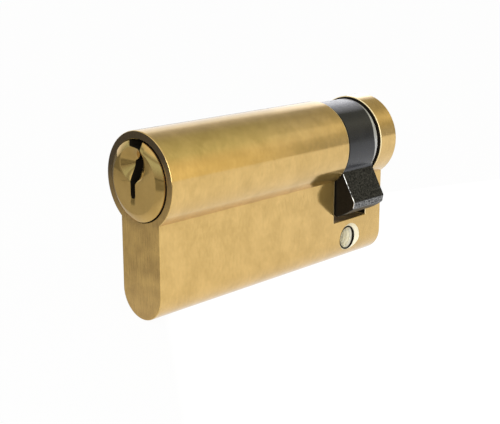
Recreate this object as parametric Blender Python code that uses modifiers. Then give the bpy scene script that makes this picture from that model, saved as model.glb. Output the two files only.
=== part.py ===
"""Half euro cylinder, 50/10: a single-sided lock cylinder of the euro profile.

+Y runs along the barrel from the keyhole to the rear, +Z points up and the barrel is on top. The origin
is on the axis of the fixing screw, in the middle of the web and of the cam.
"""

import math

import bmesh
import bpy
from mathutils import Matrix

MM = 0.001

# Housing: a round barrel on a flat web whose lower edge is a full round
barrel_diameter = 17.0 * MM
web_width = 10.0 * MM
profile_height = 33.0 * MM
front_length = 50.0 * MM
rear_length = 10.0 * MM
end_chamfer = 0.22 * MM

# Cam slot and tapped hole for the fixing screw
slot_width = 10.0 * MM
screw_bore = 4.4 * MM
screw_countersink = 6.2 * MM

# Plug
plug_diameter = 13.0 * MM
plug_clearance = 0.1 * MM
flange_diameter = 13.9 * MM
flange_clearance = 0.15 * MM
flange_thickness = 2.0 * MM
rim_height = 0.3 * MM
nose_height = 1.0 * MM
nose_diameter = 11.1 * MM
mouth_chamfer = 0.12 * MM
seat_gap = 0.3 * MM

# Keyway and drill-point dimple, measured from the barrel axis
keyway_mouth_left = -2.0 * MM
keyway_top_left = -1.3 * MM
keyway_top_right = 1.6 * MM
keyway_left = -1.15 * MM
keyway_right = 1.25 * MM
keyway_leg_left = -0.95 * MM
keyway_leg_right = 0.25 * MM
keyway_leg_top = 0.2 * MM
keyway_foot = -2.9 * MM
keyway_ward_tip = 1.1 * MM
keyway_ward_foot = 3.3 * MM
keyway_ward_middle = 4.85 * MM
keyway_ward_head = 5.95 * MM
keyway_corner = 0.25 * MM
dimple_diameter = 6.4 * MM
dimple_height = 3.05 * MM
dimple_offset = -0.25 * MM
drill_point_angle = math.radians(118.0)

# Tail of the plug, its clip and the coupling that turns the cam
tail_diameter = 10.8 * MM
tail_length = 4.4 * MM
drive_slot_width = 2.4 * MM
drive_slot_depth = 2.2 * MM
drive_clearance = 0.15 * MM
clip_diameter = 13.9 * MM
clip_thickness = 0.8 * MM
clip_opening = math.radians(80.0)
groove_depth = 0.7 * MM
groove_clearance = 0.1 * MM
lug_reach = 6.2 * MM
lug_width = 2.4 * MM
spigot_diameter = 4.8 * MM
spigot_length = 2.7 * MM

# Cam
cam_ring_diameter = 16.0 * MM
cam_side_gap = 0.3 * MM
cam_reach = 15.1 * MM
cam_tip_gap = 0.3 * MM
lever_thickness = 6.6 * MM
lever_angle = math.radians(30.0)
lever_root_fillet = 0.9 * MM
lever_tip_chamfer = 0.9 * MM
lever_edge_chamfer = 0.15 * MM
cam_edge_chamfer = 0.4 * MM

# Pin stacks: one cut depth of the key for each pin, front to rear
cut_depths = (2, 4, 1, 3, 5, 2)
first_pin = 7.5 * MM
pin_pitch = 4.0 * MM
pin_diameter = 3.0 * MM
pin_clearance = 0.1 * MM
pin_chamfer = 0.25 * MM
pin_tip_diameter = 0.7 * MM
shear_gap = 0.12 * MM
key_pin_shortest = 3.8 * MM
key_pin_step = 0.45 * MM
key_chamber_height = 0.3 * MM
driver_length = 6.0 * MM
driver_gap = 0.02 * MM
stopper_length = 3.0 * MM
spring_wire = 0.3 * MM
spring_diameter = 2.5 * MM
spring_turns = 6
spring_end_gap = 0.1 * MM
spring_end_pitch = 0.45 * MM

# Facets of a full circle
BARREL_STEPS = 64
BORE_STEPS = 56
PIN_STEPS = 20
COIL_STEPS = 8

# Places that follow from the sizes
axis_height = profile_height - barrel_diameter / 2 - web_width / 2
slot_front = -slot_width / 2
slot_rear = slot_width / 2
slot_floor = axis_height - cam_reach - cam_tip_gap
plug_radius = plug_diameter / 2
bore_radius = plug_radius + plug_clearance
tail_end = slot_front + tail_length
cam_bore_radius = tail_diameter / 2 + drive_clearance
hub_front = tail_end + seat_gap
hub_rear = slot_rear - seat_gap
groove_radius = tail_diameter / 2 - groove_depth
chamber_radius = pin_diameter / 2 + pin_clearance
pin_cone_height = (pin_diameter - pin_tip_diameter) / 2
key_pin_foot = plug_radius - shear_gap
driver_head = bore_radius + driver_gap
driver_foot = driver_head + driver_length
stopper_top = -web_width / 2 + stopper_length
BEYOND = 2.0 * MM


def clear_scene():
    """Remove the objects of the open scene and start two collections."""
    for old in list(bpy.data.objects):
        bpy.data.objects.remove(old, do_unlink=True)
    collections = []
    for name in ("half_euro_cylinder", "cutters"):
        collection = bpy.data.collections.new(name)
        bpy.context.scene.collection.children.link(collection)
        collections.append(collection)
    return collections


def make_material(name, colour, roughness):
    """A bare metal."""
    material = bpy.data.materials.new(name)
    material.use_nodes = True
    shader = material.node_tree.nodes["Principled BSDF"]
    shader.inputs["Base Color"].default_value = (*colour, 1.0)
    shader.inputs["Metallic"].default_value = 1.0
    shader.inputs["Roughness"].default_value = roughness
    return material


PARTS, CUTTERS = clear_scene()
BODY_BRASS = make_material("drawn_brass", (0.72, 0.50, 0.20), 0.32)
PLUG_BRASS = make_material("turned_brass", (0.66, 0.47, 0.20), 0.28)
PIN_BRASS = make_material("pin_brass", (0.78, 0.60, 0.30), 0.25)
CAM_STEEL = make_material("black_sintered_steel", (0.035, 0.038, 0.045), 0.42)
BRIGHT_STEEL = make_material("bright_steel", (0.55, 0.55, 0.56), 0.25)


def add_part(name, mesh, material, parent=None):
    """Put a finished mesh in the scene as one sub-part."""
    part = bpy.data.objects.new(name, mesh)
    mesh.materials.clear()
    mesh.materials.append(material)
    PARTS.objects.link(part)
    part.parent = parent
    return part


def add_cutter(name, mesh, parent=None):
    """Put a mesh in the scene as a guide that only cuts."""
    cutter = bpy.data.objects.new(name, mesh)
    CUTTERS.objects.link(cutter)
    cutter.parent = parent
    cutter.display_type = "WIRE"
    cutter.hide_render = True
    return cutter


def combine(part, other, operation="DIFFERENCE"):
    """Cut, join or trim a part with another object."""
    modifier = part.modifiers.new(other.name, "BOOLEAN")
    modifier.operation = operation
    modifier.solver = "EXACT"
    modifier.object = other
    return modifier


def shade_round(part, limit=math.radians(30.0)):
    """Smooth the round faces and keep the edges sharp."""
    part.data.shade_smooth()
    part.data.set_sharp_from_angle(angle=limit)


def arc(centre, radius, start, end, steps):
    """Points of an arc from one angle to another, both ends included."""
    points = []
    for step in range(steps + 1):
        angle = start + (end - start) * step / steps
        points.append((centre[0] + radius * math.cos(angle), centre[1] + radius * math.sin(angle)))
    return points


def fillet(before, corner, after, radius, steps=3):
    """Points that round a corner between two straight lines."""
    ax, ay = before[0] - corner[0], before[1] - corner[1]
    bx, by = after[0] - corner[0], after[1] - corner[1]
    length_a, length_b = math.hypot(ax, ay), math.hypot(bx, by)
    ax, ay, bx, by = ax / length_a, ay / length_a, bx / length_b, by / length_b
    half = math.acos(max(-1.0, min(1.0, ax * bx + ay * by))) / 2
    reach = min(radius / math.tan(half), 0.45 * length_a, 0.45 * length_b)
    points = []
    for step in range(steps + 1):
        t = step / steps
        wa, wb = (1 - t) ** 2, t ** 2
        points.append((corner[0] + reach * (wa * ax + wb * bx), corner[1] + reach * (wa * ay + wb * by)))
    return points


def extruded(name, outline, front, rear):
    """A closed mesh with an outline in X and Z, drawn out along Y from front to rear."""
    curve = bpy.data.curves.new(name, "CURVE")
    curve.dimensions = "2D"
    curve.fill_mode = "BOTH"
    curve.extrude = (rear - front) / 2
    spline = curve.splines.new("POLY")
    spline.points.add(len(outline) - 1)
    for point, (x, z) in zip(spline.points, outline):
        point.co = (x, z, 0.0, 1.0)
    spline.use_cyclic_u = True
    holder = bpy.data.objects.new(name + "_outline", curve)
    PARTS.objects.link(holder)
    depsgraph = bpy.context.evaluated_depsgraph_get()
    mesh = bpy.data.meshes.new_from_object(holder.evaluated_get(depsgraph))
    bpy.data.objects.remove(holder, do_unlink=True)
    bpy.data.curves.remove(curve)
    mesh.name = name
    bm = bmesh.new()
    bm.from_mesh(mesh)
    bmesh.ops.remove_doubles(bm, verts=bm.verts, dist=0.0005 * MM)
    upright = Matrix.Translation((0, (front + rear) / 2, 0)) @ Matrix.Rotation(math.radians(90), 4, "X")
    bmesh.ops.transform(bm, matrix=upright, verts=bm.verts)
    bmesh.ops.dissolve_limit(bm, angle_limit=math.radians(0.5), verts=bm.verts, edges=bm.edges)
    bmesh.ops.recalc_face_normals(bm, faces=bm.faces)
    bm.to_mesh(mesh)
    bm.free()
    return mesh


def chamfer_ends(mesh, places, width):
    """Break the edges of the end faces that lie at the given places along Y."""
    bm = bmesh.new()
    bm.from_mesh(mesh)
    near = 0.01 * MM
    rims = []
    for edge in bm.edges:
        ends = [vert.co.y for vert in edge.verts]
        if any(abs(ends[0] - y) < near and abs(ends[1] - y) < near for y in places):
            rims.append(edge)
    bmesh.ops.bevel(bm, geom=rims, offset=width, segments=1, profile=0.5, affect="EDGES", material=-1)
    bm.to_mesh(mesh)
    bm.free()


def turned_mesh(name, profile, steps):
    """A closed mesh turned about Z from radius and height points, given from top to bottom."""
    mesh = bpy.data.meshes.new(name)
    bm = bmesh.new()
    verts = [bm.verts.new((radius, 0.0, height)) for radius, height in profile]
    for upper, lower in zip(verts, verts[1:]):
        bm.edges.new((upper, lower))
    bm.to_mesh(mesh)
    bm.free()
    holder = bpy.data.objects.new(name + "_profile", mesh)
    PARTS.objects.link(holder)
    screw = holder.modifiers.new("turn", "SCREW")
    screw.steps = steps
    screw.render_steps = steps
    screw.use_merge_vertices = True
    screw.merge_threshold = 0.001 * MM
    depsgraph = bpy.context.evaluated_depsgraph_get()
    solid = bpy.data.meshes.new_from_object(holder.evaluated_get(depsgraph))
    bpy.data.objects.remove(holder, do_unlink=True)
    bpy.data.meshes.remove(mesh)
    solid.name = name
    return solid


def turned_along_y(name, profile, steps):
    """A closed mesh turned about Y from radius and place points, given from rear to front."""
    mesh = turned_mesh(name, profile, steps)
    mesh.transform(Matrix.Rotation(math.radians(-90), 4, "X"))
    return mesh


def turned_along_x(name, profile, steps):
    """A closed mesh turned about X from radius and place points, given from +X to -X."""
    mesh = turned_mesh(name, profile, steps)
    mesh.transform(Matrix.Rotation(math.radians(90), 4, "Y"))
    return mesh


def box_mesh(name, low, high):
    """A box between two corners."""
    mesh = bpy.data.meshes.new(name)
    bm = bmesh.new()
    bmesh.ops.create_cube(bm, size=1.0)
    size = [b - a for a, b in zip(low, high)]
    middle = [(a + b) / 2 for a, b in zip(low, high)]
    bmesh.ops.scale(bm, vec=size, verts=bm.verts)
    bmesh.ops.translate(bm, vec=middle, verts=bm.verts)
    bm.to_mesh(mesh)
    bm.free()
    return mesh


def add_axis(name, place):
    """An empty on a joint's axis, which carries the pieces that turn together."""
    axis = bpy.data.objects.new(name, None)
    axis.location = place
    PARTS.objects.link(axis)
    return axis


def pin_places():
    """Place of each pin stack along Y."""
    return [-front_length + first_pin + pin_pitch * index for index in range(len(cut_depths))]


def profile_outline():
    """Outline of the euro profile: barrel, web sides and round lower edge."""
    radius, half = barrel_diameter / 2, web_width / 2
    crease = math.asin(half / radius)
    over_top = arc((0, axis_height), radius, crease - math.pi / 2, 1.5 * math.pi - crease, BARREL_STEPS)
    under = arc((0, 0), half, math.pi, 2 * math.pi, BARREL_STEPS // 4)
    return over_top + under


def make_profile_guide():
    """The plain bar of the profile, which trims what ends flush with the housing."""
    mesh = extruded("profile_guide", profile_outline(), -front_length, rear_length)
    return add_cutter("profile_guide", mesh)


def make_body(axis):
    """Brass housing with the plug's bore, the cam slot, the pin chambers and the screw hole."""
    mesh = extruded("cylinder_body", profile_outline(), -front_length, rear_length)
    chamfer_ends(mesh, (-front_length, rear_length), end_chamfer)
    body = add_part("cylinder_body", mesh, BODY_BRASS)

    recess_radius = flange_diameter / 2 + flange_clearance
    recess_floor = -front_length + flange_thickness + seat_gap
    bore_profile = [
        (0, slot_front + BEYOND),
        (bore_radius, slot_front + BEYOND),
        (bore_radius, recess_floor),
        (recess_radius, recess_floor),
        (recess_radius, -front_length + mouth_chamfer),
        (recess_radius + mouth_chamfer + BEYOND, -front_length - BEYOND),
        (0, -front_length - BEYOND),
    ]
    bore = add_cutter("plug_bore", turned_along_y("plug_bore", bore_profile, BORE_STEPS), axis)
    combine(body, bore)

    aside = barrel_diameter
    slot = box_mesh("cam_slot", (-aside, slot_front, slot_floor), (aside, slot_rear, axis_height + aside))
    combine(body, add_cutter("cam_slot", slot))

    hole_radius = spigot_diameter / 2 + drive_clearance
    hole_floor = hub_rear + spigot_length + seat_gap
    hole_profile = [(0, hole_floor), (hole_radius, hole_floor)]
    hole_profile += [(hole_radius, slot_rear - BEYOND), (0, slot_rear - BEYOND)]
    bearing = add_cutter("bearing_hole", turned_along_y("bearing_hole", hole_profile, PIN_STEPS), axis)
    combine(body, bearing)

    half, bore_r, rim_r = web_width / 2, screw_bore / 2, screw_countersink / 2
    sink = rim_r - bore_r
    screw_profile = [
        (0, half + BEYOND),
        (rim_r + BEYOND, half + BEYOND),
        (bore_r, half - sink),
        (bore_r, -half + sink),
        (rim_r + BEYOND, -half - BEYOND),
        (0, -half - BEYOND),
    ]
    combine(body, add_cutter("screw_hole", turned_along_x("screw_hole", screw_profile, PIN_STEPS * 2)))

    for number, place in enumerate(pin_places(), start=1):
        profile = [(0, axis_height - plug_radius / 2), (chamber_radius, axis_height - plug_radius / 2)]
        profile += [(chamber_radius, -web_width / 2 - BEYOND), (0, -web_width / 2 - BEYOND)]
        chamber = add_cutter(f"web_chamber_{number}", turned_mesh("web_chamber", profile, PIN_STEPS))
        chamber.location.y = place
        combine(body, chamber)
    shade_round(body)
    return body


def keyway_outline():
    """Section of the keyway: open at the top, a slanting ward on the left and a narrow leg below."""
    crest = plug_radius + BEYOND
    leg_radius = (keyway_leg_right - keyway_leg_left) / 2
    leg_middle = (keyway_leg_right + keyway_leg_left) / 2
    foot = arc((leg_middle, keyway_foot + leg_radius), leg_radius, 0, -math.pi, 6)
    shoulder = keyway_leg_top + (keyway_right - keyway_leg_right) / 2
    ward_side = keyway_ward_foot + keyway_top_right - keyway_right
    flare = (keyway_top_left - keyway_mouth_left) / (flange_diameter / 2 - keyway_ward_head)
    crown = [(keyway_top_left - flare * (crest - keyway_ward_head), crest), (keyway_top_right, crest)]
    right = [(keyway_top_right, ward_side), (keyway_right, keyway_ward_foot)]
    right += [(keyway_right, shoulder), (keyway_leg_right, keyway_leg_top - leg_radius)]
    left = [(keyway_leg_left, keyway_leg_top - leg_radius), (keyway_left, shoulder)]
    left += [(keyway_left, keyway_ward_foot), (keyway_ward_tip, keyway_ward_middle)]
    left += [(keyway_ward_tip, keyway_ward_head - leg_radius / 2), (keyway_top_left, keyway_ward_head)]
    corners = crown + right + foot + left
    outline = []
    for index, corner in enumerate(corners):
        if corner in right + left:
            before, after = corners[index - 1], corners[(index + 1) % len(corners)]
            outline += fillet(before, corner, after, keyway_corner)
        else:
            outline.append(corner)
    return outline


def make_plug(axis):
    """Turned brass plug with a bevelled nose, keyway, dimple, pin holes and a grooved tail."""
    flange, tail = flange_diameter / 2, tail_diameter / 2
    groove_front = slot_front + cam_side_gap - groove_clearance / 2
    groove_rear = groove_front + clip_thickness + 2 * groove_clearance
    profile = [
        (0, tail_end),
        (tail - end_chamfer, tail_end),
        (tail, tail_end - end_chamfer),
        (tail, groove_rear),
        (groove_radius, groove_rear),
        (groove_radius, groove_front),
        (tail, groove_front),
        (tail, slot_front),
        (plug_radius, slot_front),
        (plug_radius, -front_length + flange_thickness),
        (flange, -front_length + flange_thickness),
        (flange, -front_length - rim_height),
        (nose_diameter / 2, -front_length - nose_height),
        (0, -front_length - nose_height),
    ]
    plug = add_part("plug", turned_along_y("plug", profile, BORE_STEPS), PLUG_BRASS, axis)

    face = -front_length - nose_height
    keyway = extruded("keyway", keyway_outline(), face - BEYOND, tail_end + BEYOND)
    combine(plug, add_cutter("keyway", keyway, axis))

    slope = math.tan(drill_point_angle / 2)
    mouth = dimple_diameter / 2 + BEYOND * slope
    point = [(0, face + dimple_diameter / 2 / slope), (mouth, face - BEYOND), (0, face - BEYOND)]
    dimple = add_cutter("dimple", turned_along_y("dimple", point, PIN_STEPS * 2), axis)
    dimple.location = (dimple_offset, 0, dimple_height)
    combine(plug, dimple)

    half = drive_slot_width / 2
    low = (-tail - BEYOND, tail_end - drive_slot_depth, -half)
    high = (tail + BEYOND, tail_end + BEYOND, half)
    combine(plug, add_cutter("drive_slot", box_mesh("drive_slot", low, high), axis))

    for number, place in enumerate(pin_places(), start=1):
        drilled = [(0, key_chamber_height + chamber_radius / slope)]
        drilled += [(chamber_radius, key_chamber_height), (chamber_radius, -plug_radius - BEYOND)]
        drilled += [(0, -plug_radius - BEYOND)]
        mesh = turned_mesh("plug_chamber", drilled, PIN_STEPS)
        chamber = add_cutter(f"plug_chamber_{number}", mesh, axis)
        chamber.location.y = place
        combine(plug, chamber)
    shade_round(plug)
    return plug


def make_clip(axis):
    """Open spring ring in the groove of the plug's tail."""
    inner, outer = groove_radius + groove_clearance, clip_diameter / 2
    start, end = clip_opening / 2 + math.pi / 2, 2.5 * math.pi - clip_opening / 2
    outline = arc((0, 0), outer, start, end, 30) + arc((0, 0), inner, end, start, 30)
    front = slot_front + cam_side_gap + groove_clearance / 2
    mesh = extruded("retaining_clip", outline, front, front + clip_thickness)
    clip = add_part("retaining_clip", mesh, BRIGHT_STEEL, axis)
    shade_round(clip)
    return clip


def make_coupling(axis):
    """Steel hub that carries the turn from the tail of the plug to the cam."""
    hub, spigot = tail_diameter / 2 - drive_clearance, spigot_diameter / 2
    profile = [
        (0, hub_rear + spigot_length),
        (spigot - end_chamfer, hub_rear + spigot_length),
        (spigot, hub_rear + spigot_length - end_chamfer),
        (spigot, hub_rear),
        (hub, hub_rear),
        (hub, hub_front),
        (0, hub_front),
    ]
    mesh = turned_along_y("cam_coupling", profile, PIN_STEPS * 2)
    coupling = add_part("cam_coupling", mesh, BRIGHT_STEEL, axis)
    half = drive_slot_width / 2 - drive_clearance
    tongue_end = tail_end - drive_slot_depth + seat_gap
    inside = hub_front + (hub_rear - hub_front) / 4
    wide = hub - end_chamfer
    tongue = box_mesh("tongue", (-wide, tongue_end, -half), (wide, inside, half))
    combine(coupling, add_cutter("tongue", tongue, axis), "UNION")
    lugs = box_mesh("lugs", (-lug_reach, hub_front + end_chamfer, -lug_width / 2),
                    (lug_reach, hub_rear - end_chamfer, lug_width / 2))
    combine(coupling, add_cutter("lugs", lugs, axis), "UNION")
    shade_round(coupling)
    return coupling


def lever_outline():
    """Lever of the cam seen from the front, pointing straight down, with its root inside the ring."""
    ring, half = cam_ring_diameter / 2, lever_thickness / 2
    swing = math.asin((half + lever_root_fillet) / (ring + lever_root_fillet))
    side_start = (ring + lever_root_fillet) * math.cos(swing)
    turn = math.pi / 2 - swing
    shoulder = math.sqrt(cam_reach ** 2 - half ** 2) - lever_tip_chamfer
    inset = math.asin((half - lever_tip_chamfer) / cam_reach)
    right = arc((half + lever_root_fillet, -side_start), lever_root_fillet, math.pi - turn, math.pi, 4)
    left = arc((-half - lever_root_fillet, -side_start), lever_root_fillet, 0, turn, 4)
    tip = arc((0, 0), cam_reach, -math.pi / 2 + inset, -math.pi / 2 - inset, 8)
    inner = (cam_bore_radius + ring) / 2
    root = arc((0, 0), inner, -math.pi / 2 - swing, -math.pi / 2 + swing, 6)
    return right + [(half, -shoulder)] + tip + [(-half, -shoulder)] + left + root


def make_cam(axis):
    """Black steel cam: a ring round the tail of the plug with one lever."""
    front, rear = slot_front + cam_side_gap, slot_rear - cam_side_gap
    ring = cam_ring_diameter / 2
    profile = [
        (0, rear),
        (ring - cam_edge_chamfer, rear),
        (ring, rear - cam_edge_chamfer),
        (ring, front + cam_edge_chamfer),
        (ring - cam_edge_chamfer, front),
        (0, front),
    ]
    cam = add_part("cam", turned_along_y("cam", profile, BARREL_STEPS), CAM_STEEL, axis)
    mesh = extruded("lever", lever_outline(), front, rear)
    chamfer_ends(mesh, (front, rear), lever_edge_chamfer)
    mesh.transform(Matrix.Rotation(-lever_angle, 4, "Y"))
    combine(cam, add_cutter("lever", mesh, axis), "UNION")

    recess = clip_diameter / 2 + groove_clearance * 2
    recess_floor = front + groove_clearance / 2 + clip_thickness + seat_gap
    profile = [
        (0, rear + BEYOND),
        (cam_bore_radius, rear + BEYOND),
        (cam_bore_radius, recess_floor),
        (recess, recess_floor),
        (recess, front - BEYOND),
        (0, front - BEYOND),
    ]
    combine(cam, add_cutter("cam_bore", turned_along_y("cam_bore", profile, BORE_STEPS), axis))
    reach, half = lug_reach + drive_clearance, lug_width / 2 + drive_clearance
    notch = box_mesh("lug_notches", (-reach, front - BEYOND, -half), (reach, rear + BEYOND, half))
    combine(cam, add_cutter("lug_notches", notch, axis))
    shade_round(cam, math.radians(20.0))
    return cam


def make_pins(axis):
    """Key pins in the plug and driver pins in the web, one pair for each chamber."""
    radius, tip = pin_diameter / 2, pin_tip_diameter / 2
    for number, (place, cut) in enumerate(zip(pin_places(), cut_depths), start=1):
        length = key_pin_shortest + key_pin_step * cut
        profile = [
            (0, length),
            (tip, length),
            (radius, length - pin_cone_height),
            (radius, pin_chamfer),
            (radius - pin_chamfer, 0),
            (0, 0),
        ]
        mesh = turned_mesh(f"key_pin_{number}", profile, PIN_STEPS)
        key_pin = add_part(f"key_pin_{number}", mesh, PIN_BRASS, axis)
        key_pin.location = (0, place, -key_pin_foot)
        shade_round(key_pin)

        profile = [
            (0, driver_length),
            (radius - pin_chamfer, driver_length),
            (radius, driver_length - pin_chamfer),
            (radius, pin_chamfer),
            (radius - pin_chamfer, 0),
            (0, 0),
        ]
        mesh = turned_mesh(f"driver_pin_{number}", profile, PIN_STEPS)
        driver = add_part(f"driver_pin_{number}", mesh, BRIGHT_STEEL)
        driver.location = (0, place, axis_height - driver_foot)
        shade_round(driver)


def make_springs():
    """Coil springs between the driver pins and the stoppers, with closed end turns."""
    low = stopper_top + spring_end_gap + spring_wire / 2
    high = axis_height - driver_foot - spring_end_gap - spring_wire / 2
    radius = (spring_diameter - spring_wire) / 2
    open_turns = spring_turns - 2
    for number, place in enumerate(pin_places(), start=1):
        curve = bpy.data.curves.new(f"pin_spring_{number}", "CURVE")
        curve.dimensions = "3D"
        curve.bevel_depth = spring_wire / 2
        curve.bevel_resolution = 2
        curve.use_fill_caps = True
        curve.materials.append(BRIGHT_STEEL)
        spline = curve.splines.new("POLY")
        count = spring_turns * COIL_STEPS + 1
        spline.points.add(count - 1)
        for index, point in enumerate(spline.points):
            turn = index / COIL_STEPS
            open_part = min(max(turn - 1, 0), open_turns) / open_turns
            end_part = min(turn, 1) + max(turn - 1 - open_turns, 0)
            height = low + spring_end_pitch * end_part + (high - low - 2 * spring_end_pitch) * open_part
            angle = 2 * math.pi * turn
            point.co = (radius * math.cos(angle), radius * math.sin(angle), height, 1.0)
        spring = bpy.data.objects.new(f"pin_spring_{number}", curve)
        spring.location.y = place
        PARTS.objects.link(spring)


def make_stoppers(profile_guide):
    """Brass stoppers that close the chambers, trimmed to the round lower edge of the web."""
    radius = pin_diameter / 2
    bottom = -web_width / 2 - BEYOND
    for number, place in enumerate(pin_places(), start=1):
        profile = [(0, stopper_top), (radius - pin_chamfer, stopper_top)]
        profile += [(radius, stopper_top - pin_chamfer), (radius, bottom), (0, bottom)]
        mesh = turned_mesh(f"chamber_plug_{number}", profile, PIN_STEPS)
        stopper = add_part(f"chamber_plug_{number}", mesh, PLUG_BRASS)
        stopper.location.y = place
        combine(stopper, profile_guide, "INTERSECT")
        shade_round(stopper)


barrel_axis = add_axis("barrel_axis", (0, 0, axis_height))
guide = make_profile_guide()
make_body(barrel_axis)
make_plug(barrel_axis)
make_clip(barrel_axis)
make_coupling(barrel_axis)
make_cam(barrel_axis)
make_pins(barrel_axis)
make_springs()
make_stoppers(guide)
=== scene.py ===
"""Half euro cylinder 50/10: its looks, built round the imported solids.

Metres. +Y runs from the keyhole to the rear, +Z is up, and the origin is on the axis of the fixing screw.
"""

import math

import bmesh
import bpy
from mathutils import Matrix, Vector


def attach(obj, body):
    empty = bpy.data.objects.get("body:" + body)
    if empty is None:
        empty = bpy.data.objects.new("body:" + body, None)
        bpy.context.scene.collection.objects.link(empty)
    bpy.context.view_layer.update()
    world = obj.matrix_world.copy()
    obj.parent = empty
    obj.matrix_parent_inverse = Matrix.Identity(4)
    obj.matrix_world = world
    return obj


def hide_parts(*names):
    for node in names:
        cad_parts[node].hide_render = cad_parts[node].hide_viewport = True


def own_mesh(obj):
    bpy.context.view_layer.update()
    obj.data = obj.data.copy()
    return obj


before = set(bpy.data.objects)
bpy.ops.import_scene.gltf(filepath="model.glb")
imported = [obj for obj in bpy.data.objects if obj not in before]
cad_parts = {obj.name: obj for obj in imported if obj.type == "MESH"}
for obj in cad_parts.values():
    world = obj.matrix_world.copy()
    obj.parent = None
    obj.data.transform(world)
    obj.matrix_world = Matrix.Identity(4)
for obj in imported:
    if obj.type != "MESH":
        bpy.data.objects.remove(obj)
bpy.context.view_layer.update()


# Housing. One bar of brass drawn to the euro profile, a round barrel on a flat web, then sawn off,
# bored for the plug, slotted for the cam, drilled from below for the pins and tapped for the screw.
# Its sides are brushed across the length and lacquered, and its sawn ends are rougher and coloured darker,
# partly for the saw cut and partly as painted shade.
MM = 0.001
barrel_radius = 8.5 * MM
barrel_height = 19.5 * MM
web_half = 5.0 * MM
front_face = -50.0 * MM
rear_face = 10.0 * MM
profile_chamfer = 0.2 * MM
hair = 0.01 * MM  # play allowed when asking where a point lies


def swung(bm, start, centre, angle, steps):
    """Draw an arc about a centre in X and Z from a vertex, and give the arc's last vertex."""
    drawn_arc = bmesh.ops.spin(bm, geom=[start], cent=(centre[0], start.co.y, centre[1]), axis=(0, 1, 0),
                               angle=angle, steps=steps)
    return [item for item in drawn_arc["geom_last"] if isinstance(item, bmesh.types.BMVert)][0]


def drawn_out(bm, length):
    """Draw the faces of an outline out along Y into a closed bar."""
    drawn = bmesh.ops.extrude_face_region(bm, geom=bm.faces[:])
    bmesh.ops.translate(bm, vec=(0, length, 0),
                        verts=[item for item in drawn["geom"] if isinstance(item, bmesh.types.BMVert)])
    bmesh.ops.recalc_face_normals(bm, faces=bm.faces)


def across(edge):
    """True for an edge that lies in one plane square to Y."""
    return abs(edge.verts[0].co.y - edge.verts[1].co.y) < hair


def finished(bm, name):
    """Put a bmesh in the scene as an object at the origin."""
    mesh = bpy.data.meshes.new(name)
    bm.to_mesh(mesh)
    bm.free()
    piece = bpy.data.objects.new(name, mesh)
    bpy.context.scene.collection.objects.link(piece)
    return piece


bm = bmesh.new()
crease = math.asin(web_half / barrel_radius)
first = bm.verts.new((web_half, front_face, barrel_height - barrel_radius * math.cos(crease)))
last = swung(bm, first, (0, barrel_height), 2 * crease - 2 * math.pi, 180)
foot_first = bm.verts.new((web_half, front_face, 0))
foot_last = swung(bm, foot_first, (0, 0), math.pi, 60)
bm.edges.new((first, foot_first))
bm.edges.new((last, foot_last))
bmesh.ops.contextual_create(bm, geom=bm.edges[:])
drawn_out(bm, rear_face - front_face)
bmesh.ops.bevel(bm, geom=[edge for edge in bm.edges if across(edge)], offset=profile_chamfer, segments=3,
                profile=0.5, affect="EDGES", material=-1)
housing = finished(bm, "housing_brass")

bore_radius = 6.6 * MM
recess_radius = 7.1 * MM
recess_depth = 2.3 * MM
recess_chamfer = 0.1 * MM
slot_half = 5.0 * MM
slot_floor = 4.1 * MM
bearing_radius = 2.55 * MM
bearing_end = 7.7 * MM
screw_radius = 2.5 * MM
sink_radius = 3.1 * MM
sink_foot = 2.42 * MM
thread_mouth = 2.12 * MM
thread_lip = 0.1 * MM
chamber_radius = 1.6 * MM
chamber_top = 16.0 * MM
first_pin = 7.5 * MM
pin_pitch = 4.0 * MM
pin_rows = [front_face + first_pin + pin_pitch * index for index in range(6)]
past = 3.0 * MM  # how far a tool reaches beyond the brass
merge_gap = 0.002 * MM  # points nearer than this are one


def spun(bm, points, axis, steps):
    """Turn a chain of points once round an axis through the origin, closed into one skin."""
    chain = [bm.verts.new(point) for point in points]
    edges = [bm.edges.new(pair) for pair in zip(chain, chain[1:])]
    bmesh.ops.spin(bm, geom=chain + edges, cent=(0, 0, 0), axis=axis, angle=2 * math.pi, steps=steps,
                   use_merge=True)
    bmesh.ops.remove_doubles(bm, verts=bm.verts, dist=merge_gap)
    bmesh.ops.recalc_face_normals(bm, faces=bm.faces)


def lathe_y(name, profile, steps=144, height=barrel_height):
    """A solid turned about the barrel's axis, from places along Y and radii."""
    bm = bmesh.new()
    spun(bm, [(0, y, radius) for y, radius in profile], (0, 1, 0), steps)
    bmesh.ops.translate(bm, vec=(0, 0, height), verts=bm.verts)
    return finished(bm, name)


def drilled(name, radius, row, low, high, segments=48):
    """An upright round bar between two heights, at a place along Y."""
    bm = bmesh.new()
    bmesh.ops.create_cone(bm, cap_ends=True, segments=segments, radius1=radius, radius2=radius,
                          depth=high - low)
    bmesh.ops.translate(bm, vec=(0, row, (low + high) / 2), verts=bm.verts)
    return finished(bm, name)


def milled(name, low, high):
    """The block that a cutter sweeps between two corners."""
    bm = bmesh.new()
    bmesh.ops.create_cube(bm, size=1.0)
    bmesh.ops.scale(bm, vec=Vector(high) - Vector(low), verts=bm.verts)
    bmesh.ops.translate(bm, vec=(Vector(low) + Vector(high)) / 2, verts=bm.verts)
    return finished(bm, name)


def worked(piece, tools, operation="DIFFERENCE"):
    """Cut a piece with tools or join them to it, merge its doubles, and throw the tools away."""
    for tool in tools:
        step = piece.modifiers.new(tool.name, "BOOLEAN")
        step.operation = operation
        step.solver = "EXACT"
        step.object = tool
    ready = bpy.context.evaluated_depsgraph_get()
    mesh = bpy.data.meshes.new_from_object(piece.evaluated_get(ready))
    bm = bmesh.new()
    bm.from_mesh(mesh)
    bmesh.ops.remove_doubles(bm, verts=bm.verts, dist=merge_gap)
    bm.to_mesh(mesh)
    bm.free()
    piece.modifiers.clear()
    piece.data = mesh
    for tool in tools:
        bpy.data.objects.remove(tool, do_unlink=True)


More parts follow.
